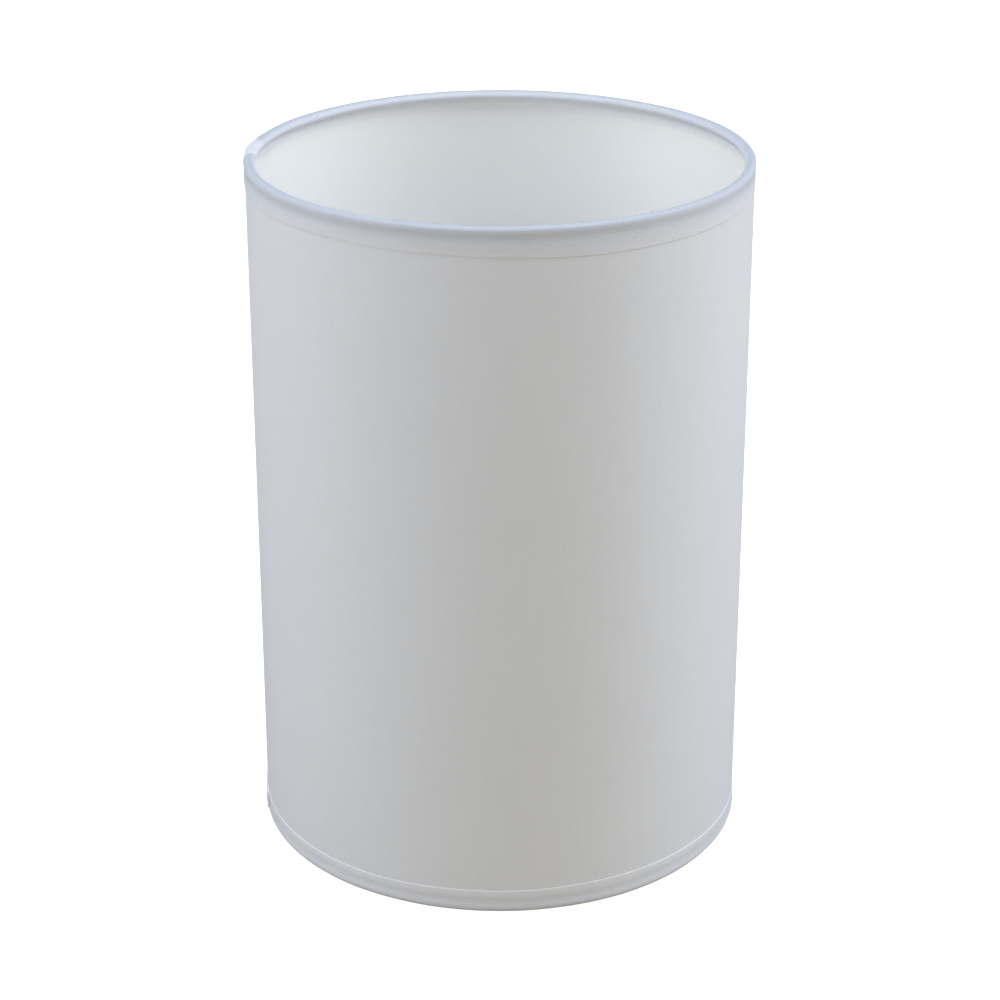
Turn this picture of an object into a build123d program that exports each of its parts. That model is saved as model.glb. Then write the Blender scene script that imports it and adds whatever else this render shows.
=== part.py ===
"""Cylinder lamp shade: a fabric-covered plastic tube held round by a wire ring at each end.

The shade stands on its lower rim with +Z up and the origin at the centre of that rim's
resting plane. All sizes are in millimetres.

- The panel is a plastic liner with a woven cover bonded to its outside. It wraps once round
  and its outer end laps over its inner end, held by a strip of double-sided tape.
- A wire ring sits inside each end of the liner. A bias-cut fabric trim is folded over each
  ring, from the outside of the cover round the wire to the inside of the liner.
- Three spokes rise from the lower ring to the fitter ring, which takes a lampholder. A plastic
  reducer ring drops into the fitter ring for a smaller lampholder, and lifts out upwards.
"""

from build123d import *

import os
from math import acos, atan2, cos, degrees, radians, sin, sqrt

# Overall size
OVERALL_DIAMETER = 140.0
OVERALL_HEIGHT = 198.0

# Sheet materials
TRIM_THICKNESS = 0.25
COVER_THICKNESS = 0.25
LINER_THICKNESS = 0.3
SEAM_TAPE_THICKNESS = 0.1

# Trims: how far each shows outside, and how far both reach along the inside
UPPER_TRIM_BAND = 8.1
LOWER_TRIM_BAND = 7.0
TRIM_TUCK = 6.0

# Vertical seam: the azimuth of its exposed edge, the overlap, and the outer end's bend radius
SEAM_AZIMUTH = 174.0
SEAM_OVERLAP = 10.0
SEAM_BEND_RADIUS = 20.0

# Wire frame
RING_WIRE_DIAMETER = 2.0
RING_GLUE_GAP = 0.05
TRIM_LEAVES_WIRE = 315.0
SPOKE_WIRE_DIAMETER = 1.8
SPOKE_AZIMUTHS = (90.0, 210.0, 330.0)
SPOKE_BEND_RADIUS = 6.0
SPOKE_FLAT_LENGTH = 6.0
SPOKE_BITE = 0.8
SPOKE_HOLE_CLEARANCE = 0.2
WELD_RADIUS = 2.1
WELD_HEIGHT = 1.7

# Fitter ring for a 40 mm lampholder body, and the reducer ring for a 28 mm one
FITTER_HEIGHT = 20.0
FITTER_THICKNESS = 1.6
FITTER_OUTER_RADIUS = 27.0
FITTER_HOLE_RADIUS = 21.0
FITTER_EDGE_FILLET = 0.3
REDUCER_HOLE_RADIUS = 14.5
REDUCER_SPIGOT_CLEARANCE = 0.3
REDUCER_FLANGE_RADIUS = 24.5
REDUCER_FLANGE_THICKNESS = 1.8
REDUCER_EDGE_FILLET = 0.4

# Radii that follow from the sheet stack, from the outside in
TRIM_OUTER = OVERALL_DIAMETER / 2
COVER_OUTER = TRIM_OUTER - TRIM_THICKNESS
LINER_OUTER = COVER_OUTER - COVER_THICKNESS
LINER_INNER = LINER_OUTER - LINER_THICKNESS
SEAM_STEP = LINER_THICKNESS + COVER_THICKNESS + SEAM_TAPE_THICKNESS
LAPPED_INNER = LINER_INNER + SEAM_STEP

# Wire ring and the fabric rolled round it
WIRE_RADIUS = RING_WIRE_DIAMETER / 2
ROLL_RADIUS = WIRE_RADIUS + TRIM_THICKNESS
RING_RADIUS = LINER_INNER - RING_GLUE_GAP - WIRE_RADIUS
RING_INSET = ROLL_RADIUS
LOWER_RING_Z = RING_INSET
UPPER_RING_Z = OVERALL_HEIGHT - RING_INSET
SHOULDER_RADIUS = TRIM_OUTER - ROLL_RADIUS

# The panel's edges stop level with the middle of the wires
PANEL_EDGE_GAP = 0.05
PANEL_BOTTOM = RING_INSET + PANEL_EDGE_GAP
PANEL_HEIGHT = OVERALL_HEIGHT - 2 * PANEL_BOTTOM


def overlap_angle():
    """The seam's overlap, as degrees round the cover."""
    return degrees(SEAM_OVERLAP / COVER_OUTER)


def ramp():
    """Where the outer end leaves the base circle, as (tangent length, angle swept, start azimuth).

    It leaves on a straight tangent, then an arc meets the lapped circle tangentially.
    """
    run = sqrt(SEAM_STEP * (2 * LINER_INNER + SEAM_STEP - 2 * SEAM_BEND_RADIUS))
    sweep = degrees(atan2(run, LINER_INNER - SEAM_BEND_RADIUS))
    return run, sweep, SEAM_AZIMUTH - overlap_angle() - sweep


def polar(radius, azimuth):
    return Vector(radius * cos(radians(azimuth)), radius * sin(radians(azimuth)))


def arc_between(centre, radius, start, end):
    return CenterArc((centre.X, centre.Y, 0), radius, start, end - start)


def wrap_path(offset, start, end):
    """Edges of the panel's plan at a distance outside the liner's inner face.

    It runs anticlockwise from azimuth start, once round, up the ramp and on to azimuth end.
    """
    run, sweep, ramp_azimuth = ramp()
    origin = Vector(0, 0)
    outward = polar(1, ramp_azimuth)
    along = polar(1, ramp_azimuth + 90)
    bend_centre = outward * (LINER_INNER - SEAM_BEND_RADIUS) + along * run
    leaves = outward * (LINER_INNER + offset)
    ramp_turn = ramp_azimuth + 360
    lapped_turn = ramp_turn + sweep
    return [
        arc_between(origin, LINER_INNER + offset, start, ramp_turn),
        Line(leaves, leaves + along * run),
        arc_between(bend_centre, SEAM_BEND_RADIUS + offset, ramp_turn, lapped_turn),
        arc_between(origin, LAPPED_INNER + offset, lapped_turn, end),
    ]


def make_liner():
    """Plastic sheet, wrapped once round; its outer end stops inside the cover's folded edge."""
    inner_end = SEAM_AZIMUTH - overlap_angle()
    outer_end = SEAM_AZIMUTH + 360 - degrees(COVER_THICKNESS / LAPPED_INNER)
    near = wrap_path(0, inner_end, outer_end)
    far = wrap_path(LINER_THICKNESS, inner_end, outer_end)
    caps = [Line(near[0] @ 0, far[0] @ 0), Line(near[-1] @ 1, far[-1] @ 1)]
    plan = make_face(near + far + caps)
    return Pos(0, 0, PANEL_BOTTOM) * extrude(plan, PANEL_HEIGHT)


def make_cover():
    """Woven cover on the liner; at the outer end it is folded round the liner's edge."""
    inner_end = SEAM_AZIMUTH - overlap_angle()
    outer_end = SEAM_AZIMUTH + 360
    fold_start = outer_end - degrees(COVER_THICKNESS / LAPPED_INNER)
    near = wrap_path(LINER_THICKNESS, inner_end, fold_start)
    far = wrap_path(LINER_THICKNESS + COVER_THICKNESS, inner_end, outer_end)
    fold = arc_between(Vector(0, 0), LAPPED_INNER, fold_start, outer_end)
    closing = [
        Line(near[0] @ 0, far[0] @ 0),
        Line(near[-1] @ 1, fold @ 0),
        Line(fold @ 1, far[-1] @ 1),
    ]
    plan = make_face(near + far + [fold] + closing)
    return Pos(0, 0, PANEL_BOTTOM) * extrude(plan, PANEL_HEIGHT)


def make_seam_tape():
    """Double-sided tape between the two lapped ends."""
    start = SEAM_AZIMUTH - overlap_angle()
    near = arc_between(Vector(0, 0), COVER_OUTER, start, SEAM_AZIMUTH)
    far = arc_between(Vector(0, 0), LAPPED_INNER, start, SEAM_AZIMUTH)
    caps = [Line(near @ 0, far @ 0), Line(near @ 1, far @ 1)]
    plan = make_face([near, far] + caps)
    return Pos(0, 0, PANEL_BOTTOM) * extrude(plan, PANEL_HEIGHT)


def make_ring(height):
    return Pos(0, 0, height) * Torus(RING_RADIUS, WIRE_RADIUS)


def section_arc(centre_radius, centre_height, radius, start, end):
    return CenterArc((centre_radius, centre_height, 0), radius, start, end - start)


def trim_section(band):
    """Section of the upper trim in the (radius, height) plane, as one fold of fabric.

    It goes up the outside of the cover, over the shoulder and the wire, and down the inside
    of the liner. The fold leaves the wire where its inner layer meets the liner's face.
    """
    band_end = OVERALL_HEIGHT - band
    tuck_end = OVERALL_HEIGHT - TRIM_TUCK
    tuck_inner = LINER_INNER - TRIM_THICKNESS
    crease_angle = 360 - degrees(acos((tuck_inner - RING_RADIUS) / ROLL_RADIUS))
    shoulder = section_arc(SHOULDER_RADIUS, UPPER_RING_Z, ROLL_RADIUS, 0, 90)
    roll = section_arc(RING_RADIUS, UPPER_RING_Z, ROLL_RADIUS, 90, crease_angle)
    under_roll = section_arc(RING_RADIUS, UPPER_RING_Z, WIRE_RADIUS, 90, TRIM_LEAVES_WIRE)
    under_shoulder = section_arc(SHOULDER_RADIUS, UPPER_RING_Z, WIRE_RADIUS, 0, 90)
    inside = Polyline(
        roll @ 1,
        (tuck_inner, tuck_end),
        (LINER_INNER, tuck_end),
        (LINER_INNER, (roll @ 1).Y + TRIM_THICKNESS / 2),
        under_roll @ 1,
    )
    outside = Polyline(
        under_shoulder @ 0,
        (COVER_OUTER, band_end),
        (TRIM_OUTER, band_end),
        shoulder @ 0,
    )
    top = Line(shoulder @ 1, roll @ 0)
    under_top = Line(under_roll @ 0, under_shoulder @ 1)
    return make_face([shoulder, top, roll, inside, under_roll, under_top, under_shoulder, outside])


def seam_hump_section(band):
    """Section of the trim's filling between the cover and the raised trim over the seam."""
    band_end = OVERALL_HEIGHT - band
    fold_under = OVERALL_HEIGHT - TRIM_THICKNESS
    shoulder = section_arc(SHOULDER_RADIUS + SEAM_STEP, UPPER_RING_Z, ROLL_RADIUS, 0, 90)
    outline = Polyline(
        shoulder @ 1,
        (SHOULDER_RADIUS, OVERALL_HEIGHT),
        (SHOULDER_RADIUS, fold_under),
        (LINER_INNER, fold_under),
        (LINER_INNER, band_end),
        (TRIM_OUTER + SEAM_STEP, band_end),
        shoulder @ 0,
    )
    return make_face([shoulder, outline])


def turned(section, start, sweep_angle):
    """A section in the (radius, height) plane, revolved from azimuth start."""
    return Rot(0, 0, start) * revolve(Plane.XZ * section, Axis.Z, sweep_angle)


def make_upper_trim(band, panel):
    """Trim folded over the upper ring, raised where it crosses the lapped seam."""
    _, _, ramp_azimuth = ramp()
    past_edge = degrees(TRIM_THICKNESS / TRIM_OUTER)
    hump_sweep = SEAM_AZIMUTH + past_edge - ramp_azimuth
    trim = turned(trim_section(band), 0, 360)
    trim += turned(seam_hump_section(band), ramp_azimuth, hump_sweep)
    for piece in panel:
        trim -= piece
    return trim


def make_lower_trim(band, panel):
    """The same fold at the lower ring, slit where the spokes come through it."""
    middle = Plane.XY.offset(OVERALL_HEIGHT / 2)
    trim = mirror(make_upper_trim(band, panel), about=middle)
    for hole in make_spoke_holes():
        trim -= hole
    return trim


def spoke_path():
    """Spoke centreline in the XZ plane, from the lower ring's wire up to the fitter ring."""
    fitter_middle = FITTER_HEIGHT + FITTER_THICKNESS / 2
    bend = FITTER_OUTER_RADIUS + SPOKE_FLAT_LENGTH
    points = [
        (RING_RADIUS, 0, LOWER_RING_Z),
        (bend, 0, fitter_middle),
        (FITTER_OUTER_RADIUS - SPOKE_BITE, 0, fitter_middle),
    ]
    return FilletPolyline(*points, radius=SPOKE_BEND_RADIUS)


def wire_along(path, diameter):
    return sweep(Plane(path @ 0, z_dir=path % 0) * Circle(diameter / 2), path)


def make_spokes(lower_ring, fitter_ring):
    """Three wires, cut to saddle the ring's wire and to grip the fitter ring's edge."""
    wire = wire_along(spoke_path(), SPOKE_WIRE_DIAMETER)
    return [Rot(0, 0, azimuth) * wire - lower_ring - fitter_ring for azimuth in SPOKE_AZIMUTHS]


def make_spoke_holes():
    hole = wire_along(spoke_path(), SPOKE_WIRE_DIAMETER + 2 * SPOKE_HOLE_CLEARANCE)
    return [Rot(0, 0, azimuth) * hole for azimuth in SPOKE_AZIMUTHS]


def make_fitter_ring():
    """Pressed washer that the lampholder's collar clamps."""
    blank = extrude(Circle(FITTER_OUTER_RADIUS) - Circle(FITTER_HOLE_RADIUS), FITTER_THICKNESS)
    rounded = fillet(blank.edges().filter_by(GeomType.CIRCLE), FITTER_EDGE_FILLET)
    return Pos(0, 0, FITTER_HEIGHT) * rounded


def make_fitter_welds(spokes, fitter_ring):
    """The three weld beads that join the spokes to the fitter ring's edge."""
    height = FITTER_HEIGHT + FITTER_THICKNESS / 2
    bead = scale(Sphere(1), (WELD_RADIUS, WELD_RADIUS, WELD_HEIGHT))
    placed = Pos(FITTER_OUTER_RADIUS, 0, height) * bead
    solids = []
    for azimuth, spoke in zip(SPOKE_AZIMUTHS, spokes):
        solids += (Rot(0, 0, azimuth) * placed - fitter_ring - spoke).solids()
    return Compound(solids)


def make_reducer_ring():
    """Plastic step-down ring: a spigot in the fitter ring's hole, and a flange resting on it."""
    spigot = FITTER_HOLE_RADIUS - REDUCER_SPIGOT_CLEARANCE
    flange_bottom = FITTER_HEIGHT + FITTER_THICKNESS
    flange_top = flange_bottom + REDUCER_FLANGE_THICKNESS
    section = make_face(Polyline(
        (REDUCER_HOLE_RADIUS, FITTER_HEIGHT),
        (spigot, FITTER_HEIGHT),
        (spigot, flange_bottom),
        (REDUCER_FLANGE_RADIUS, flange_bottom),
        (REDUCER_FLANGE_RADIUS, flange_top),
        (REDUCER_HOLE_RADIUS, flange_top),
        close=True,
    ))
    corners = [v for v in section.vertices() if v.Y > flange_bottom + REDUCER_EDGE_FILLET]
    return turned(fillet(corners, REDUCER_EDGE_FILLET), 0, 360)


def main():
    liner = make_liner()
    cover = make_cover()
    seam_tape = make_seam_tape()
    upper_ring = make_ring(UPPER_RING_Z)
    lower_ring = make_ring(LOWER_RING_Z)
    fitter_ring = make_fitter_ring()
    spokes = make_spokes(lower_ring, fitter_ring)
    panel = (liner, cover, seam_tape)
    nodes = {
        "liner": liner,
        "cover": cover,
        "seam_tape": seam_tape,
        "upper_ring": upper_ring,
        "lower_ring": lower_ring,
        "upper_trim": make_upper_trim(UPPER_TRIM_BAND, panel),
        "lower_trim": make_lower_trim(LOWER_TRIM_BAND, panel),
        "fitter_ring": fitter_ring,
        "fitter_welds": make_fitter_welds(spokes, fitter_ring),
        "reducer_ring": make_reducer_ring(),
    }
    for number, spoke in enumerate(spokes, start=1):
        nodes[f"spoke_{number}"] = spoke

    os.makedirs("parts", exist_ok=True)
    for name, shape in nodes.items():
        export_step(shape, f"parts/{name}.step")


main()
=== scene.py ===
"""Looks for the cylinder lamp shade: woven cover, rolled bias trims, liner and wire fitter.

The frame is the CAD's: the axis is +Z, the shade stands on z = 0 and the camera looks along +Y.
Azimuths are degrees anticlockwise from +X, except where a docstring says otherwise. Lengths
are in metres unless a comment says millimetres. The woven cover and the two trims are built
here as sheets. The liner, wire rings, spokes, fitter ring, welds and reducer ring are the CAD's
own meshes.
"""

import math
from dataclasses import dataclass

import bpy
import numpy as np
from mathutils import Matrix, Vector


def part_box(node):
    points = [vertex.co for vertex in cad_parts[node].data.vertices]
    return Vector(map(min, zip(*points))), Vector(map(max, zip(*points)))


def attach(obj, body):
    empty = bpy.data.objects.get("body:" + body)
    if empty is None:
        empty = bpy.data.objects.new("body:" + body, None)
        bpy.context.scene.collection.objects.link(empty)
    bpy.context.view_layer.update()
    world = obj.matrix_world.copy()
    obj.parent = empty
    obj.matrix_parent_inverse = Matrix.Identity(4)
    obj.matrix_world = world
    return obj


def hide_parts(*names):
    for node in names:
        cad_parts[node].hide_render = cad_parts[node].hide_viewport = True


MM = 0.001

# Camera, matched to the perspective of the shade's outline; the lens is in millimetres
CAMERA_DISTANCE = 0.7096
CAMERA_HEIGHT = 0.3949
CAMERA_PITCH = 22.916
CAMERA_LENS = 96.24
SENSOR_WIDTH = 36.0

# Thickness of each sheet, and how far the cover's face lies inside the rim's radius
TRIM_THICKNESS = 0.22 * MM
COVER_THICKNESS = 0.25 * MM
COVER_UNDER_TRIM = 0.32 * MM

# Vertical seam of the cover: the outer end climbs a ramp and laps over the inner end
SEAM_AZIMUTH = 174.0
SEAM_OVERLAP = 10 * MM
SEAM_RAMP = 11 * MM
SEAM_STEP = 0.65 * MM

# Degrees past the seam in which a trim that rides over it comes back down
SEAM_FADE = 3.0

# Degrees by which each trim's ends lap at the join, and in which the strip settles past the lap
JOIN_OVERLAP = 11.0
JOIN_FADE = 3.0

# Millimetres between the layers of the lower join where it is pressed flat
LAP_STEP = 0.06

# A lap is two layers thick, so this share less painted shade lies on it over the wire
LAP_LESS_SHADE = 0.35

# A strip's outer end is cut on a slant: degrees per millimetre of section, the least and the
# most degrees, and the degrees in which the slant dies away
END_SLANT = 0.9
END_SLANT_RANGE = (-1.5, 3.5)
END_FADE = 8.0

# The tucked end is glued down thin: the share of thickness lost, and, in millimetres, how far
# before the end that starts and how far it takes
TUCK_THINNING = 0.8
TUCK_TAPER_START = 3.5
TUCK_TAPER_LENGTH = 2.5

# Millimetres of section over which ripples and creases die away from where they are strongest,
# and the share of a ripple that runs everywhere and the share added there
ROLL_SPREAD = 4.5
RIPPLE_EVERYWHERE = 0.2
RIPPLE_ON_ROLL = 0.6

# Waves round the shade: (cycles, millimetres, phase in degrees)
SLACK_WAVES = [(3, 0.03, 20), (7, 0.02, 75), (12, 0.012, 140)]
RIPPLE_WAVES = [(5, 0.02, 10), (9, 0.018, 200), (17, 0.012, 80), (31, 0.01, 140)]

# How finely the sheets are divided
COVER_COLUMNS = 721
COVER_ROWS = 41
TRIM_COLUMNS = 541
POINTS_PER_SPAN = 4
INNER_SKIP = 3

# Degrees of bend above which an edge is left crisp
SHARP_ANGLE = 50

# Weave: threads each way share this pitch
THREAD_PITCH = 0.36 * MM

# Base colours: both cloths, the painted shade of the cloth over the wire, and a fleck of dust or a
# dull slub
COVER_WHITE = (0.80, 0.825, 0.86, 1.0)
TRIM_WHITE = (0.88, 0.90, 0.935, 1.0)
PAINTED_WIRE_SHADE = (0.36, 0.41, 0.49, 1.0)
SPECK = (0.55, 0.55, 0.55, 1.0)

# Base colours of what lies inside
LINER_WHITE = (0.89, 0.91, 0.905, 1.0)
LINER_SCUFF = (0.71, 0.73, 0.72, 1.0)
PAINT_WHITE = (0.80, 0.81, 0.80)
MOULDING_WHITE = (0.82, 0.83, 0.81)
TAPE_TONES = ((0.80, 0.80, 0.72, 1.0), (0.88, 0.88, 0.84, 1.0))

# The floor's colour as the camera sees it, its colour as it lights the shade from below, and
# the glow that only the camera sees
FLOOR_SEEN = (0.97, 0.97, 0.97, 1.0)
FLOOR_BOUNCE = (0.35, 0.31, 0.24, 1.0)
FLOOR_GLOW = 0.8

WHITE = (1.0, 1.0, 1.0, 1.0)
WORLD_STRENGTH = 0.01

# Soft boxes: name, azimuth and elevation, distance, size, power in watts, colour
LIGHT_AIM = Vector((0, 0, 0.1))
LIGHTS = [
    ("left_high", -90, 55, 1.4, (1.0, 1.0), 12.8, (1.0, 0.97, 0.89)),
    ("right_high", 90, 55, 1.4, (1.0, 1.0), 14.2, (0.99, 0.99, 0.98)),
    ("right_side", 100, 15, 1.2, (0.8, 1.2), 6.1, (0.73, 0.80, 1.0)),
    ("left_side", -80, 15, 1.2, (0.8, 1.2), 5.0, (0.60, 0.71, 1.0)),
    ("front_fill", 0, 25, 1.5, (1.0, 1.0), 6.3, (1.0, 0.90, 0.64)),
    ("front_high", 0, 60, 1.5, (1.0, 1.0), 5.3, (0.21, 0.43, 1.0)),
]

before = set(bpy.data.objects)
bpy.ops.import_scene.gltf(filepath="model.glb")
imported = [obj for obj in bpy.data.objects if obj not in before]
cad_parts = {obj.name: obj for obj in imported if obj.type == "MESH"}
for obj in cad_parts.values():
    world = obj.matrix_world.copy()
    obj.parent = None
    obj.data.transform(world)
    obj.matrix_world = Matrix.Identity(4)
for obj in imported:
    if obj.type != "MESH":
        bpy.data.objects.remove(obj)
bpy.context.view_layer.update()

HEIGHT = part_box("upper_trim")[1].z
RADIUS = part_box("upper_trim")[1].x
PANEL_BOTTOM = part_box("liner")[0].z
COVER_OUTER = RADIUS - COVER_UNDER_TRIM


# ---------------------------------------------------------------- meshes

def smoothstep(x):
    """0 below 0, 1 above 1, and a smooth rise between."""
    x = np.clip(x, 0, 1)
    return x * x * (3 - 2 * x)


def wave(angle, terms):
    """A sum of harmonics round the shade: terms are (cycles, amplitude, phase in degrees)."""
    return sum(a * np.sin(np.radians(n * angle + p)) for n, a, p in terms)


def catmull_rom(controls, per_span):
    """Points along a smooth curve through the controls."""
    p = np.vstack([2 * controls[0] - controls[1], controls, 2 * controls[-1] - controls[-2]])
    out = []
    for i in range(1, len(p) - 2):
        for s in np.arange(per_span) / per_span:
            out.append(0.5 * (
                2 * p[i] + (p[i + 1] - p[i - 1]) * s
                + (2 * p[i - 1] - 5 * p[i] + 4 * p[i + 1] - p[i + 2]) * s**2
                + (3 * p[i] - p[i - 1] - 3 * p[i + 1] + p[i + 2]) * s**3
            ))
    return np.array(out + [p[-2]])


def polar(radius, azimuth, z):
    """Points from cylindrical coordinates, with the azimuth in degrees."""
    a = np.radians(azimuth)
    return np.stack([radius * np.cos(a), radius * np.sin(a), z + 0 * radius], axis=-1)


def strip_mesh(name, points, cloth, caps):
    """A closed sheet from rings of points, [along, round the section, xyz], capped at both ends.

    cloth holds each point's place on the flat cut, in metres, and how much painted shade it carries
    over the wire.
    caps lists the faces that close an end, by their places in the ring.
    """
    count, ring = points.shape[:2]
    index = np.arange(count * ring).reshape(count, ring)
    nxt = np.roll(index, -1, axis=1)
    faces = np.stack([index[:-1], nxt[:-1], nxt[1:], index[1:]], axis=-1).reshape(-1, 4)
    ends = [index[0][cap[::-1]].tolist() for cap in caps]
    ends += [index[-1][cap].tolist() for cap in caps]
    mesh = bpy.data.meshes.new(name)
    mesh.from_pydata(points.reshape(-1, 3).tolist(), [], faces.tolist() + ends)
    attribute = mesh.attributes.new("cloth", "FLOAT_VECTOR", "POINT")
    attribute.data.foreach_set("vector", cloth.reshape(-1, 3).astype(np.float32).ravel())
    mesh.validate()
    mesh.shade_smooth()
    mesh.set_sharp_from_angle(angle=math.radians(SHARP_ANGLE))
    piece = bpy.data.objects.new(name, mesh)
    bpy.context.scene.collection.objects.link(piece)
    return piece


def seam_step(azimuth):
    """How far the cover's outer end stands out where it laps over its inner end."""
    lap = math.degrees(SEAM_OVERLAP / COVER_OUTER)
    ramp = math.degrees(SEAM_RAMP / COVER_OUTER)
    before = (SEAM_AZIMUTH - azimuth + 180) % 360 - 180
    rise = 1 - smoothstep((before - lap) / ramp)
    return SEAM_STEP * rise * (1 - smoothstep(-before / SEAM_FADE))


def make_cover():
    """The woven cover: once round, its outer end lapped over its inner end."""
    length = math.tau * COVER_OUTER + SEAM_OVERLAP
    start = SEAM_AZIMUTH - math.degrees(SEAM_OVERLAP / COVER_OUTER)
    along = np.linspace(0, length, COVER_COLUMNS)
    azimuth = start + np.degrees(along / COVER_OUTER)
    ramp = smoothstep((along - (length - SEAM_OVERLAP - SEAM_RAMP)) / SEAM_RAMP)
    outer = COVER_OUTER + SEAM_STEP * ramp
    slack = wave(azimuth, SLACK_WAVES) * MM
    heights = np.linspace(PANEL_BOTTOM, HEIGHT - PANEL_BOTTOM, COVER_ROWS)
    inner_heights = (heights[-1], heights[0])
    rings = [polar(outer + slack * math.sin(math.pi * z / HEIGHT), azimuth, z) for z in heights]
    rings += [polar(outer - COVER_THICKNESS, azimuth, z) for z in inner_heights]
    cloth = [np.stack([along, along * 0 + z, along * 0], axis=-1)
             for z in (*heights, *inner_heights)]
    caps = [list(range(len(rings)))]
    # Turned round, so that the faces point outwards.
    rings, cloth = rings[::-1], cloth[::-1]
    return strip_mesh("cover_fabric", np.stack(rings, axis=1), np.stack(cloth, axis=1), caps)


# Outer face of a trim in section: millimetres out from the rim's radius, millimetres in from
# its end, and how much shade is painted into the cloth there, standing in for the light that the
# wire keeps from coming through.
# It runs from the free edge up the band, through the groove under the wire, over the roll,
# and down the liner to the tucked end.
TRIM_SECTION = [
    (-0.20, 8.10, 0.12), (-0.17, 7.30, 0.16), (-0.15, 5.70, 0.24), (-0.17, 4.70, 0.31),
    (-0.20, 3.90, 0.37), (-0.21, 3.20, 0.41), (-0.17, 2.55, 0.43), (-0.10, 1.90, 0.44),
    (-0.08, 1.25, 0.47), (-0.22, 0.60, 0.58), (-0.68, 0.12, 0.80), (-1.30, 0.00, 0.90),
    (-1.98, 0.08, 0.90), (-2.55, 0.38, 0.70), (-2.98, 0.90, 0.45), (-3.10, 1.50, 0.28),
    (-2.85, 2.12, 0.14), (-2.35, 2.62, 0.03), (-1.80, 3.00, 0.0), (-1.35, 3.40, 0.0),
    (-1.02, 4.00, 0.0), (-0.90, 5.00, 0.0), (-0.87, 6.00, 0.0),
]

# Places in TRIM_SECTION: the groove, the outer shoulder of the roll, where ripples and creases
# are strongest, and the roll's highest point
GROOVE_CONTROL = 4
SHOULDER_CONTROL = 8
RIPPLE_CONTROL = 9
TOP_CONTROL = 11


def section_curve():
    """The section as a smooth curve: its points, their painted shade and the length up to each."""
    curve = catmull_rom(np.array(TRIM_SECTION), POINTS_PER_SPAN)
    points, painted_shade = curve[:, :2], curve[:, 2]
    steps = np.linalg.norm(np.diff(points, axis=0), axis=1)
    return points, painted_shade, np.concatenate([[0], np.cumsum(steps)])


SECTION, SECTION_PAINTED_SHADE, SECTION_ARC = section_curve()


def arc_at(control):
    """Millimetres along the section to one of its controls."""
    return SECTION_ARC[control * POINTS_PER_SPAN]


def section_normals():
    """Outward normals. The section runs up the outside, so they lie to its right."""
    tangent = np.gradient(SECTION, axis=0)
    tangent /= np.linalg.norm(tangent, axis=1)[:, None]
    return np.stack([-tangent[:, 1], tangent[:, 0]], axis=1)


def band_share():
    """How far each point lies from the groove, 0, towards the free edge, 1."""
    groove, edge = TRIM_SECTION[GROOVE_CONTROL][1], TRIM_SECTION[0][1]
    share = np.clip((SECTION[:, 1] - groove) / (edge - groove), 0, 1)
    share[GROOVE_CONTROL * POINTS_PER_SPAN:] = 0
    return share


def outside_share():
    """1 on the outside of the roll, falling to 0 between its shoulder and its top."""
    shoulder, top = arc_at(SHOULDER_CONTROL), arc_at(TOP_CONTROL)
    return 1 - smoothstep((SECTION_ARC - shoulder) / (top - shoulder))


def section_thickness():
    """Millimetres of cloth behind each point."""
    taper = smoothstep((SECTION_ARC - SECTION_ARC[-1] + TUCK_TAPER_START) / TUCK_TAPER_LENGTH)
    return TRIM_THICKNESS / MM * (1 - TUCK_THINNING * taper)


@dataclass(frozen=True)
class Trim:
    """What sets one bias strip apart, in millimetres and degrees.

    edge_waves move its free edge. creases are (azimuth, depth, half width, slant per millimetre
    of section). painted_shade_share scales how much shade is painted over the wire.
    """

    name: str
    node: str
    band: float
    edge_waves: list
    join_azimuth: float
    join_lift: float
    painted_shade_share: float
    creases: list
    upper: bool


TRIMS = [
    Trim("trim_upper", "upper_trim", band=7.75, join_azimuth=181.6, join_lift=0.12,
         edge_waves=[(2, 0.55, 190), (5, 0.08, 60), (9, 0.06, 10), (16, 0.05, 100)],
         painted_shade_share=1.0, creases=[(108.0, 0.16, 0.5, 0.25), (52.0, 0.14, 0.5, -0.2)],
         upper=True),
    Trim("trim_lower", "lower_trim", band=6.7, join_azimuth=188.5, join_lift=0.25,
         edge_waves=[(1, 0.15, 0), (3, 0.3, 315), (6, 0.06, 10), (11, 0.05, 150)],
         painted_shade_share=0.55, creases=[], upper=False),
]


def pushed_out(trim, azimuth, lapped):
    """Millimetres by which the join's lift, the ripples and the creases move each point out."""
    ripple = wave(azimuth, RIPPLE_WAVES)
    roll = np.exp(-((SECTION_ARC - arc_at(RIPPLE_CONTROL)) / ROLL_SPREAD) ** 2)
    rippled = ripple[:, None] * (RIPPLE_EVERYWHERE + RIPPLE_ON_ROLL * roll[None])
    pushed = trim.join_lift * lapped[:, None] + rippled
    for crease_azimuth, depth, width, slant in trim.creases:
        across = (azimuth - crease_azimuth + 180) % 360 - 180
        across = across[:, None] - slant * (SECTION_ARC - arc_at(TOP_CONTROL))[None]
        pushed -= depth * np.exp(-(across / width) ** 2) * roll[None]
    return pushed


def cap_faces(outer_count, backed):
    """An end's faces, each from a stretch of the outer face to the inner face behind it.

    backed lists the outer points that have an inner point behind them, in the inner order.
    """
    behind = {outer: outer_count + place for place, outer in enumerate(backed)}
    stops = sorted(behind)
    return [[*range(low, high + 1), behind[high], behind[low]]
            for low, high in zip(stops[:-1], stops[1:])]


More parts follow.
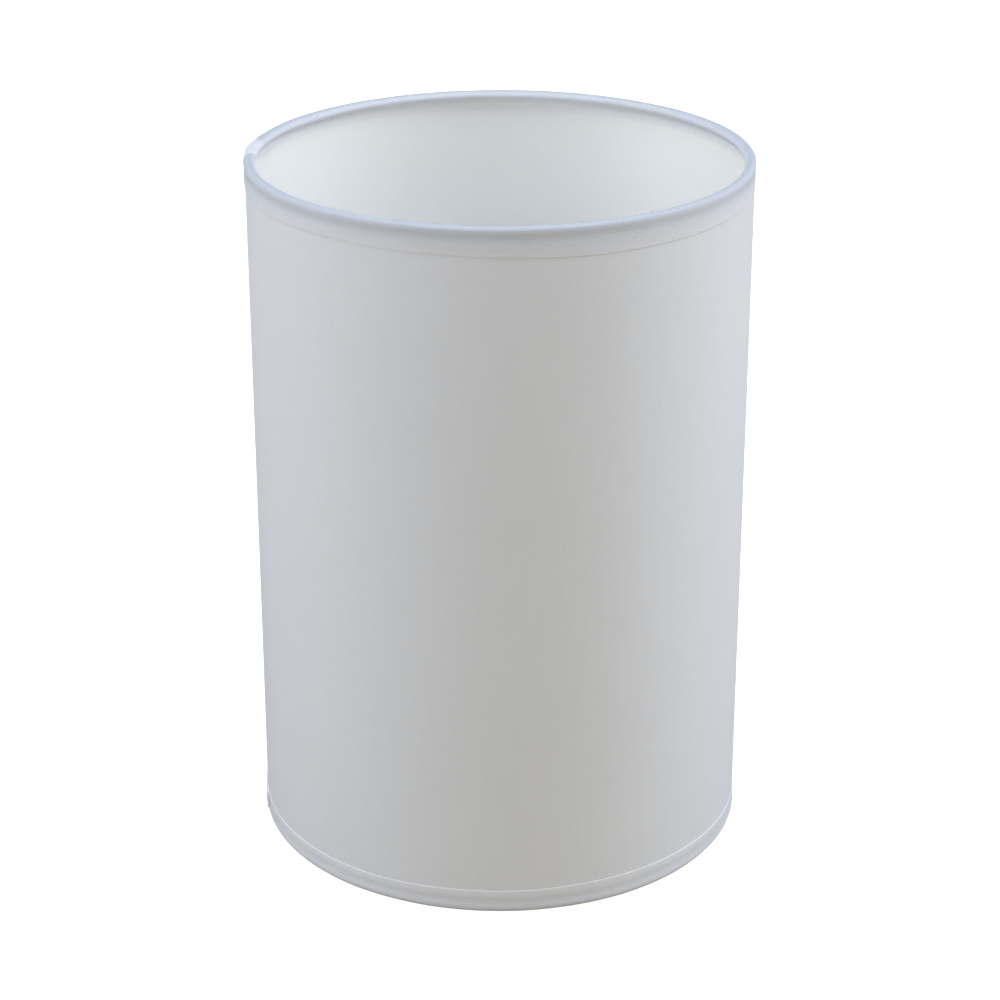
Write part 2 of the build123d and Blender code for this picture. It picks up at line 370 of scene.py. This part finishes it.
def make_trim(trim):
    """A bias strip folded over a wire ring, its ends lapped at the join, and its width.

    The strip starts with its outer end at the join and runs clockwise.
    """
    along = np.linspace(0, 360 + JOIN_OVERLAP, TRIM_COLUMNS)
    azimuth = trim.join_azimuth - along
    lapped = 1 - smoothstep((along - JOIN_OVERLAP) / JOIN_FADE)

    # Outer face, in millimetres: [along, round the section, (out, in)]
    normal = section_normals()
    outer = SECTION[None] + normal[None] * pushed_out(trim, azimuth, lapped)[..., None]
    edge_shift = trim.band - TRIM_SECTION[0][1] + wave(azimuth, trim.edge_waves)
    outer[..., 1] += band_share()[None] * edge_shift[:, None]
    outer[..., 0] += outside_share()[None] * seam_step(azimuth)[:, None] / MM
    if not trim.upper:
        # The lower trim carries the shade, so its roll is pressed flat, the lap a little lower.
        outer[..., 1] = np.maximum(outer[..., 1], LAP_STEP * (1 - lapped)[:, None])

    # Inner face, behind some of the outer points, from the tucked end back
    backed = np.unique([*range(0, len(SECTION), INNER_SKIP), len(SECTION) - 1])[::-1]
    inner = (outer - normal[None] * section_thickness()[None, :, None])[:, backed]
    ring = np.concatenate([outer, inner], axis=1) * MM
    ring_arc = np.concatenate([SECTION_ARC, SECTION_ARC[backed]])
    depth = ring[..., 1]

    # The strip is cut on the bias, so its end runs forward down the outside.
    end_skew = np.clip(END_SLANT * (arc_at(TOP_CONTROL) - ring_arc), *END_SLANT_RANGE)
    turned = azimuth[:, None] + end_skew[None] * (1 - smoothstep(along / END_FADE))[:, None]
    points = polar(RADIUS + ring[..., 0], turned, HEIGHT - depth if trim.upper else depth)

    u = np.radians(along)[:, None] * RADIUS + 0 * ring_arc[None]
    v = 0 * u + ring_arc[None] * MM
    # Painted shade over the wire, weaker where the lap is two layers thick.
    painted_shade = np.concatenate([SECTION_PAINTED_SHADE, SECTION_PAINTED_SHADE[backed]])
    painted_shade_amount = trim.painted_shade_share * painted_shade[None] * (1 - LAP_LESS_SHADE * lapped[:, None])
    cloth = np.stack([u, v, painted_shade_amount], axis=-1)
    caps = cap_faces(len(SECTION), backed)
    if not trim.upper:
        # Upside down, so the ring is turned round to keep the faces outwards.
        last = points.shape[1] - 1
        points = points[:, ::-1]
        cloth = cloth[:, ::-1]
        caps = [[last - place for place in cap[::-1]] for cap in caps]
    return strip_mesh(trim.name, points, cloth, caps), SECTION_ARC[-1] * MM


# ---------------------------------------------------------------- materials

class Nodes:
    """Builds a material's node tree with short calls."""

    def __init__(self, name):
        self.material = bpy.data.materials.new(name)
        self.material.use_nodes = True
        self.tree = self.material.node_tree
        self.tree.nodes.clear()
        output = self.tree.nodes.new("ShaderNodeOutputMaterial")
        self.shader = self.tree.nodes.new("ShaderNodeBsdfPrincipled")
        self.tree.links.new(self.shader.outputs[0], output.inputs["Surface"])

    def set(self, **values):
        for key, value in values.items():
            self.shader.inputs[key.replace("_", " ")].default_value = value

    def link(self, source, target):
        self.tree.links.new(source, target)

    def put(self, socket, value):
        if isinstance(value, bpy.types.NodeSocket):
            self.link(value, socket)
        else:
            socket.default_value = value

    def math(self, operation, a, b=0.0, c=None):
        node = self.tree.nodes.new("ShaderNodeMath")
        node.operation = operation
        self.put(node.inputs[0], a)
        self.put(node.inputs[1], b)
        if c is not None:
            self.put(node.inputs[2], c)
        return node.outputs[0]

    def combine(self, x, y, z=0.0):
        node = self.tree.nodes.new("ShaderNodeCombineXYZ")
        for socket, value in zip(node.inputs, (x, y, z)):
            self.put(socket, value)
        return node.outputs[0]

    def cloth(self):
        """Sockets for the place on the flat cut, along and across, and for the painted shade over
        the wire.
        """
        source = self.tree.nodes.new("ShaderNodeAttribute")
        source.attribute_name = "cloth"
        split = self.tree.nodes.new("ShaderNodeSeparateXYZ")
        self.link(source.outputs["Vector"], split.inputs[0])
        return split.outputs

    def place(self):
        """The place in the row frame."""
        return self.tree.nodes.new("ShaderNodeNewGeometry").outputs["Position"]

    def noise(self, vector, scale, detail=2.0, roughness=0.5):
        node = self.tree.nodes.new("ShaderNodeTexNoise")
        self.put(node.inputs["Vector"], vector)
        node.inputs["Scale"].default_value = scale
        node.inputs["Detail"].default_value = detail
        node.inputs["Roughness"].default_value = roughness
        return node.outputs[0]

    def remap(self, value, low, high, to_low, to_high):
        node = self.tree.nodes.new("ShaderNodeMapRange")
        self.put(node.inputs[0], value)
        for socket, number in zip(node.inputs[1:5], (low, high, to_low, to_high)):
            socket.default_value = number
        return node.outputs[0]

    def mix(self, factor, a, b):
        node = self.tree.nodes.new("ShaderNodeMix")
        node.data_type = "RGBA"
        self.put(node.inputs["Factor"], factor)
        self.put(node.inputs["A"], a)
        self.put(node.inputs["B"], b)
        return node.outputs["Result"]

    def vary(self, value, amount, tone=1.0, middle=0.5):
        """tone, moved by amount for each unit that value lies above its middle."""
        return self.math("MULTIPLY_ADD", self.math("SUBTRACT", value, middle), amount, tone)

    def streaks(self, u, v, along_u, along_v, seed=0.0):
        """Noise drawn out in the direction that has the smaller number."""
        stretched = [self.math("MULTIPLY", u, along_u), self.math("MULTIPLY", v, along_v)]
        return self.noise(self.combine(*stretched, seed), 1.0, 3.0)

    def shade(self, colour, value):
        """colour scaled by a value near 1."""
        node = self.tree.nodes.new("ShaderNodeVectorMath")
        node.operation = "SCALE"
        self.put(node.inputs[0], colour)
        self.put(node.inputs["Scale"], value)
        return node.outputs[0]

    def bump(self, height, distance, strength=1.0):
        node = self.tree.nodes.new("ShaderNodeBump")
        node.inputs["Strength"].default_value = strength
        node.inputs["Distance"].default_value = distance
        self.link(height, node.inputs["Height"])
        self.link(node.outputs[0], self.shader.inputs["Normal"])


def thread_profile(n, across, along, phase):
    """Height of one set of threads: round across, dipping under every other crossing."""
    cross = n.math("ABSOLUTE", n.math("SINE", n.math("MULTIPLY", across, math.pi)))
    body = n.math("POWER", cross, 0.6)
    row = n.math("FLOOR", across)
    turn = n.math("MULTIPLY", n.math("ADD", n.math("ADD", along, row), phase), math.pi)
    over = n.math("MULTIPLY_ADD", n.math("SINE", turn), 0.5, 0.5)
    return n.math("MULTIPLY", body, over)


def woven(name, colour, bias, streak, contrast):
    """Plain-weave fabric. bias turns the threads 45 degrees to the strip.

    streak is how far threads differ in tone, and contrast how far crossings do.
    """
    n = Nodes(name)
    u, v, over = n.cloth()
    if bias:
        root = math.sqrt(0.5)
        u, v = (n.math("MULTIPLY", n.math("ADD", u, v), root),
                n.math("MULTIPLY", n.math("SUBTRACT", u, v), root))
    flat = n.combine(u, v)
    # Threads wander a little off true.
    drift = n.math("MULTIPLY_ADD", n.noise(flat, 1500.0, 1.0), 0.55, n.noise(flat, 260.0))
    warp = n.math("MULTIPLY_ADD", u, 1 / THREAD_PITCH, drift)
    weft = n.math("MULTIPLY_ADD", v, 1 / THREAD_PITCH, drift)
    up = thread_profile(n, warp, weft, 0.5)
    across = thread_profile(n, weft, warp, 1.5)
    height = n.math("MAXIMUM", up, across)
    warp_tone = n.streaks(u, v, 2600.0, 28.0)
    weft_tone = n.streaks(u, v, 30.0, 2400.0, 5.0)
    cloud = n.noise(n.combine(u, v, 3.0), 22.0, 4.0, 0.6)
    tone = n.vary(warp_tone, streak)
    tone = n.vary(weft_tone, streak * 0.6, tone)
    tone = n.vary(cloud, 0.03, tone)
    tone = n.vary(height, contrast, tone, 0.6)
    dirt = n.remap(n.noise(n.combine(u, v, 9.0), 900.0, 1.0), 0.74, 0.80, 0.0, 0.35)
    base = n.mix(dirt, colour, SPECK)
    # Painted shade: the third part of the cloth attribute mixes in a dark tone over the wire, where
    # it keeps light from coming through.
    base = n.mix(over, base, PAINTED_WIRE_SHADE)
    n.link(n.shade(base, tone), n.shader.inputs["Base Color"])
    n.link(n.remap(height, 0.0, 1.0, 0.95, 0.78), n.shader.inputs["Roughness"])
    n.set(Sheen_Weight=0.1, Sheen_Roughness=0.45, Specular_IOR_Level=0.25)
    n.shader.inputs["Sheen Tint"].default_value = (0.85, 0.92, 1.0, 1.0)
    n.bump(height, 0.05 * MM, 0.6)
    return n.material


def liner_plastic():
    """Satin white sheet with faint scuffs and the waviness of calendered plastic."""
    n = Nodes("liner_plastic")
    place = n.place()
    cloud = n.noise(place, 35.0, 3.0)
    scuff = n.remap(n.noise(place, 420.0, 4.0, 0.7), 0.62, 0.75, 0.0, 1.0)
    base = n.mix(n.math("MULTIPLY", scuff, 0.10), LINER_WHITE, LINER_SCUFF)
    n.link(n.shade(base, n.vary(cloud, 0.04)), n.shader.inputs["Base Color"])
    n.link(n.remap(cloud, 0.3, 0.7, 0.42, 0.56), n.shader.inputs["Roughness"])
    n.set(Specular_IOR_Level=0.35)
    n.bump(n.noise(place, 900.0, 3.0), 0.02 * MM, 0.5)
    return n.material


def painted_wire():
    """White powder coat: slightly rippled gloss."""
    n = Nodes("white_powder_coat")
    place = n.place()
    ripple = n.noise(place, 1600.0, 2.0)
    tone = n.vary(n.noise(place, 90.0, 3.0), 0.05)
    n.link(n.shade(PAINT_WHITE, tone), n.shader.inputs["Base Color"])
    n.link(n.remap(ripple, 0.3, 0.7, 0.26, 0.40), n.shader.inputs["Roughness"])
    n.set(Specular_IOR_Level=0.5, Coat_Weight=0.3, Coat_Roughness=0.2)
    n.bump(ripple, 0.03 * MM, 0.5)
    return n.material


def moulded_plastic():
    """White moulding with a fine satin grain."""
    n = Nodes("moulded_plastic")
    place = n.place()
    grain = n.noise(place, 3200.0, 2.0)
    tone = n.vary(n.noise(place, 60.0, 2.0), 0.04)
    n.link(n.shade(MOULDING_WHITE, tone), n.shader.inputs["Base Color"])
    n.link(n.remap(grain, 0.3, 0.7, 0.36, 0.50), n.shader.inputs["Roughness"])
    n.set(Specular_IOR_Level=0.45)
    n.bump(grain, 0.015 * MM, 0.6)
    return n.material


def seam_tape_film():
    """Cloudy adhesive film."""
    n = Nodes("tape_film")
    place = n.place()
    cloud = n.noise(place, 500.0, 3.0)
    n.link(n.mix(cloud, *TAPE_TONES), n.shader.inputs["Base Color"])
    n.link(n.remap(cloud, 0.3, 0.7, 0.3, 0.5), n.shader.inputs["Roughness"])
    n.bump(cloud, 0.02 * MM, 0.4)
    return n.material


def floor_paper():
    """White to the eye, and greyer to the light that it throws back up at the shade."""
    n = Nodes("floor_paper")
    seen = n.tree.nodes.new("ShaderNodeLightPath").outputs["Is Camera Ray"]
    tone = n.vary(n.noise(n.place(), 8.0, 2.0), 0.01)
    base = n.mix(seen, FLOOR_BOUNCE, FLOOR_SEEN)
    n.link(n.shade(base, tone), n.shader.inputs["Base Color"])
    n.link(n.math("MULTIPLY", seen, FLOOR_GLOW), n.shader.inputs["Emission Strength"])
    n.shader.inputs["Emission Color"].default_value = WHITE
    n.set(Roughness=0.9, Specular_IOR_Level=0.1)
    return n.material


def paint(node, material):
    """Gives one of the CAD's nodes its material."""
    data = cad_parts[node].data
    data.materials.clear()
    data.materials.append(material)


# ---------------------------------------------------------------- stage

def make_floor(material):
    """A pale round floor that curves up into a wall all the way round."""
    flat, bend, height, sides, steps = 2.2, 0.8, 2.6, 96, 12
    quarter = [math.radians(90 * k / steps) for k in range(steps + 1)]
    profile = [(flat + bend * math.sin(a), bend - bend * math.cos(a)) for a in quarter]
    profile.append((flat + bend, height))
    turns = [math.tau * k / sides for k in range(sides)]
    vertices = [(0, 0, 0)]
    vertices += [(r * math.cos(t), r * math.sin(t), z) for r, z in profile for t in turns]
    faces = []
    for k in range(sides):
        nxt = (k + 1) % sides
        faces.append((0, 1 + k, 1 + nxt))
        for row in range(len(profile) - 1):
            low, high = 1 + row * sides, 1 + (row + 1) * sides
            faces.append((low + k, high + k, high + nxt, low + nxt))
    mesh = bpy.data.meshes.new("floor")
    mesh.from_pydata(vertices, [], faces)
    mesh.shade_smooth()
    mesh.materials.append(material)
    floor = bpy.data.objects.new("floor", mesh)
    bpy.context.scene.collection.objects.link(floor)


def area_light(name, azimuth, elevation, distance, size, power, colour):
    """A soft box aimed at the shade; azimuth 0 is towards the camera, positive to the right."""
    a, e = math.radians(azimuth), math.radians(elevation)
    data = bpy.data.lights.new(name, "AREA")
    data.shape = "RECTANGLE"
    data.size, data.size_y = size
    data.energy = power
    data.color = colour
    light = bpy.data.objects.new(name, data)
    light.location = LIGHT_AIM + distance * Vector(
        (math.sin(a) * math.cos(e), -math.cos(a) * math.cos(e), math.sin(e)))
    light.rotation_euler = (LIGHT_AIM - light.location).to_track_quat("-Z", "Y").to_euler()
    bpy.context.scene.collection.objects.link(light)


def make_camera():
    data = bpy.data.cameras.new("camera")
    data.lens = CAMERA_LENS
    data.sensor_width = SENSOR_WIDTH
    data.clip_start = 0.05
    camera = bpy.data.objects.new("camera", data)
    camera.location = (0, -CAMERA_DISTANCE, CAMERA_HEIGHT)
    camera.rotation_euler = (math.radians(90 - CAMERA_PITCH), 0, 0)
    bpy.context.scene.collection.objects.link(camera)
    bpy.context.scene.camera = camera


def make_world(colour, strength):
    world = bpy.data.worlds.new("studio")
    world.use_nodes = True
    background = world.node_tree.nodes["Background"]
    background.inputs["Color"].default_value = colour
    background.inputs["Strength"].default_value = strength
    bpy.context.scene.world = world


# ---------------------------------------------------------------- build

cover_cloth = woven("cover_weave", COVER_WHITE, bias=False, streak=0.05, contrast=0.08)
trim_cloth = woven("trim_weave", TRIM_WHITE, bias=True, streak=0.04, contrast=0.10)
liner_sheet = liner_plastic()
powder_coat = painted_wire()

cover = make_cover()
cover.data.materials.append(cover_cloth)
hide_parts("cover")
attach(cover, "shade")

for trim in TRIMS:
    strip, width = make_trim(trim)
    strip.data.materials.append(trim_cloth)
    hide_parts(trim.node)
    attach(strip, "shade")

paint("liner", liner_sheet)
paint("seam_tape", seam_tape_film())
paint("reducer_ring", moulded_plastic())
for node in ("upper_ring", "lower_ring", "spoke_1", "spoke_2", "spoke_3", "fitter_ring",
             "fitter_welds"):
    paint(node, powder_coat)

make_floor(floor_paper())
make_camera()
make_world(WHITE, WORLD_STRENGTH)
for light in LIGHTS:
    area_light(*light)
bpy.context.scene.view_settings.view_transform = "Standard"
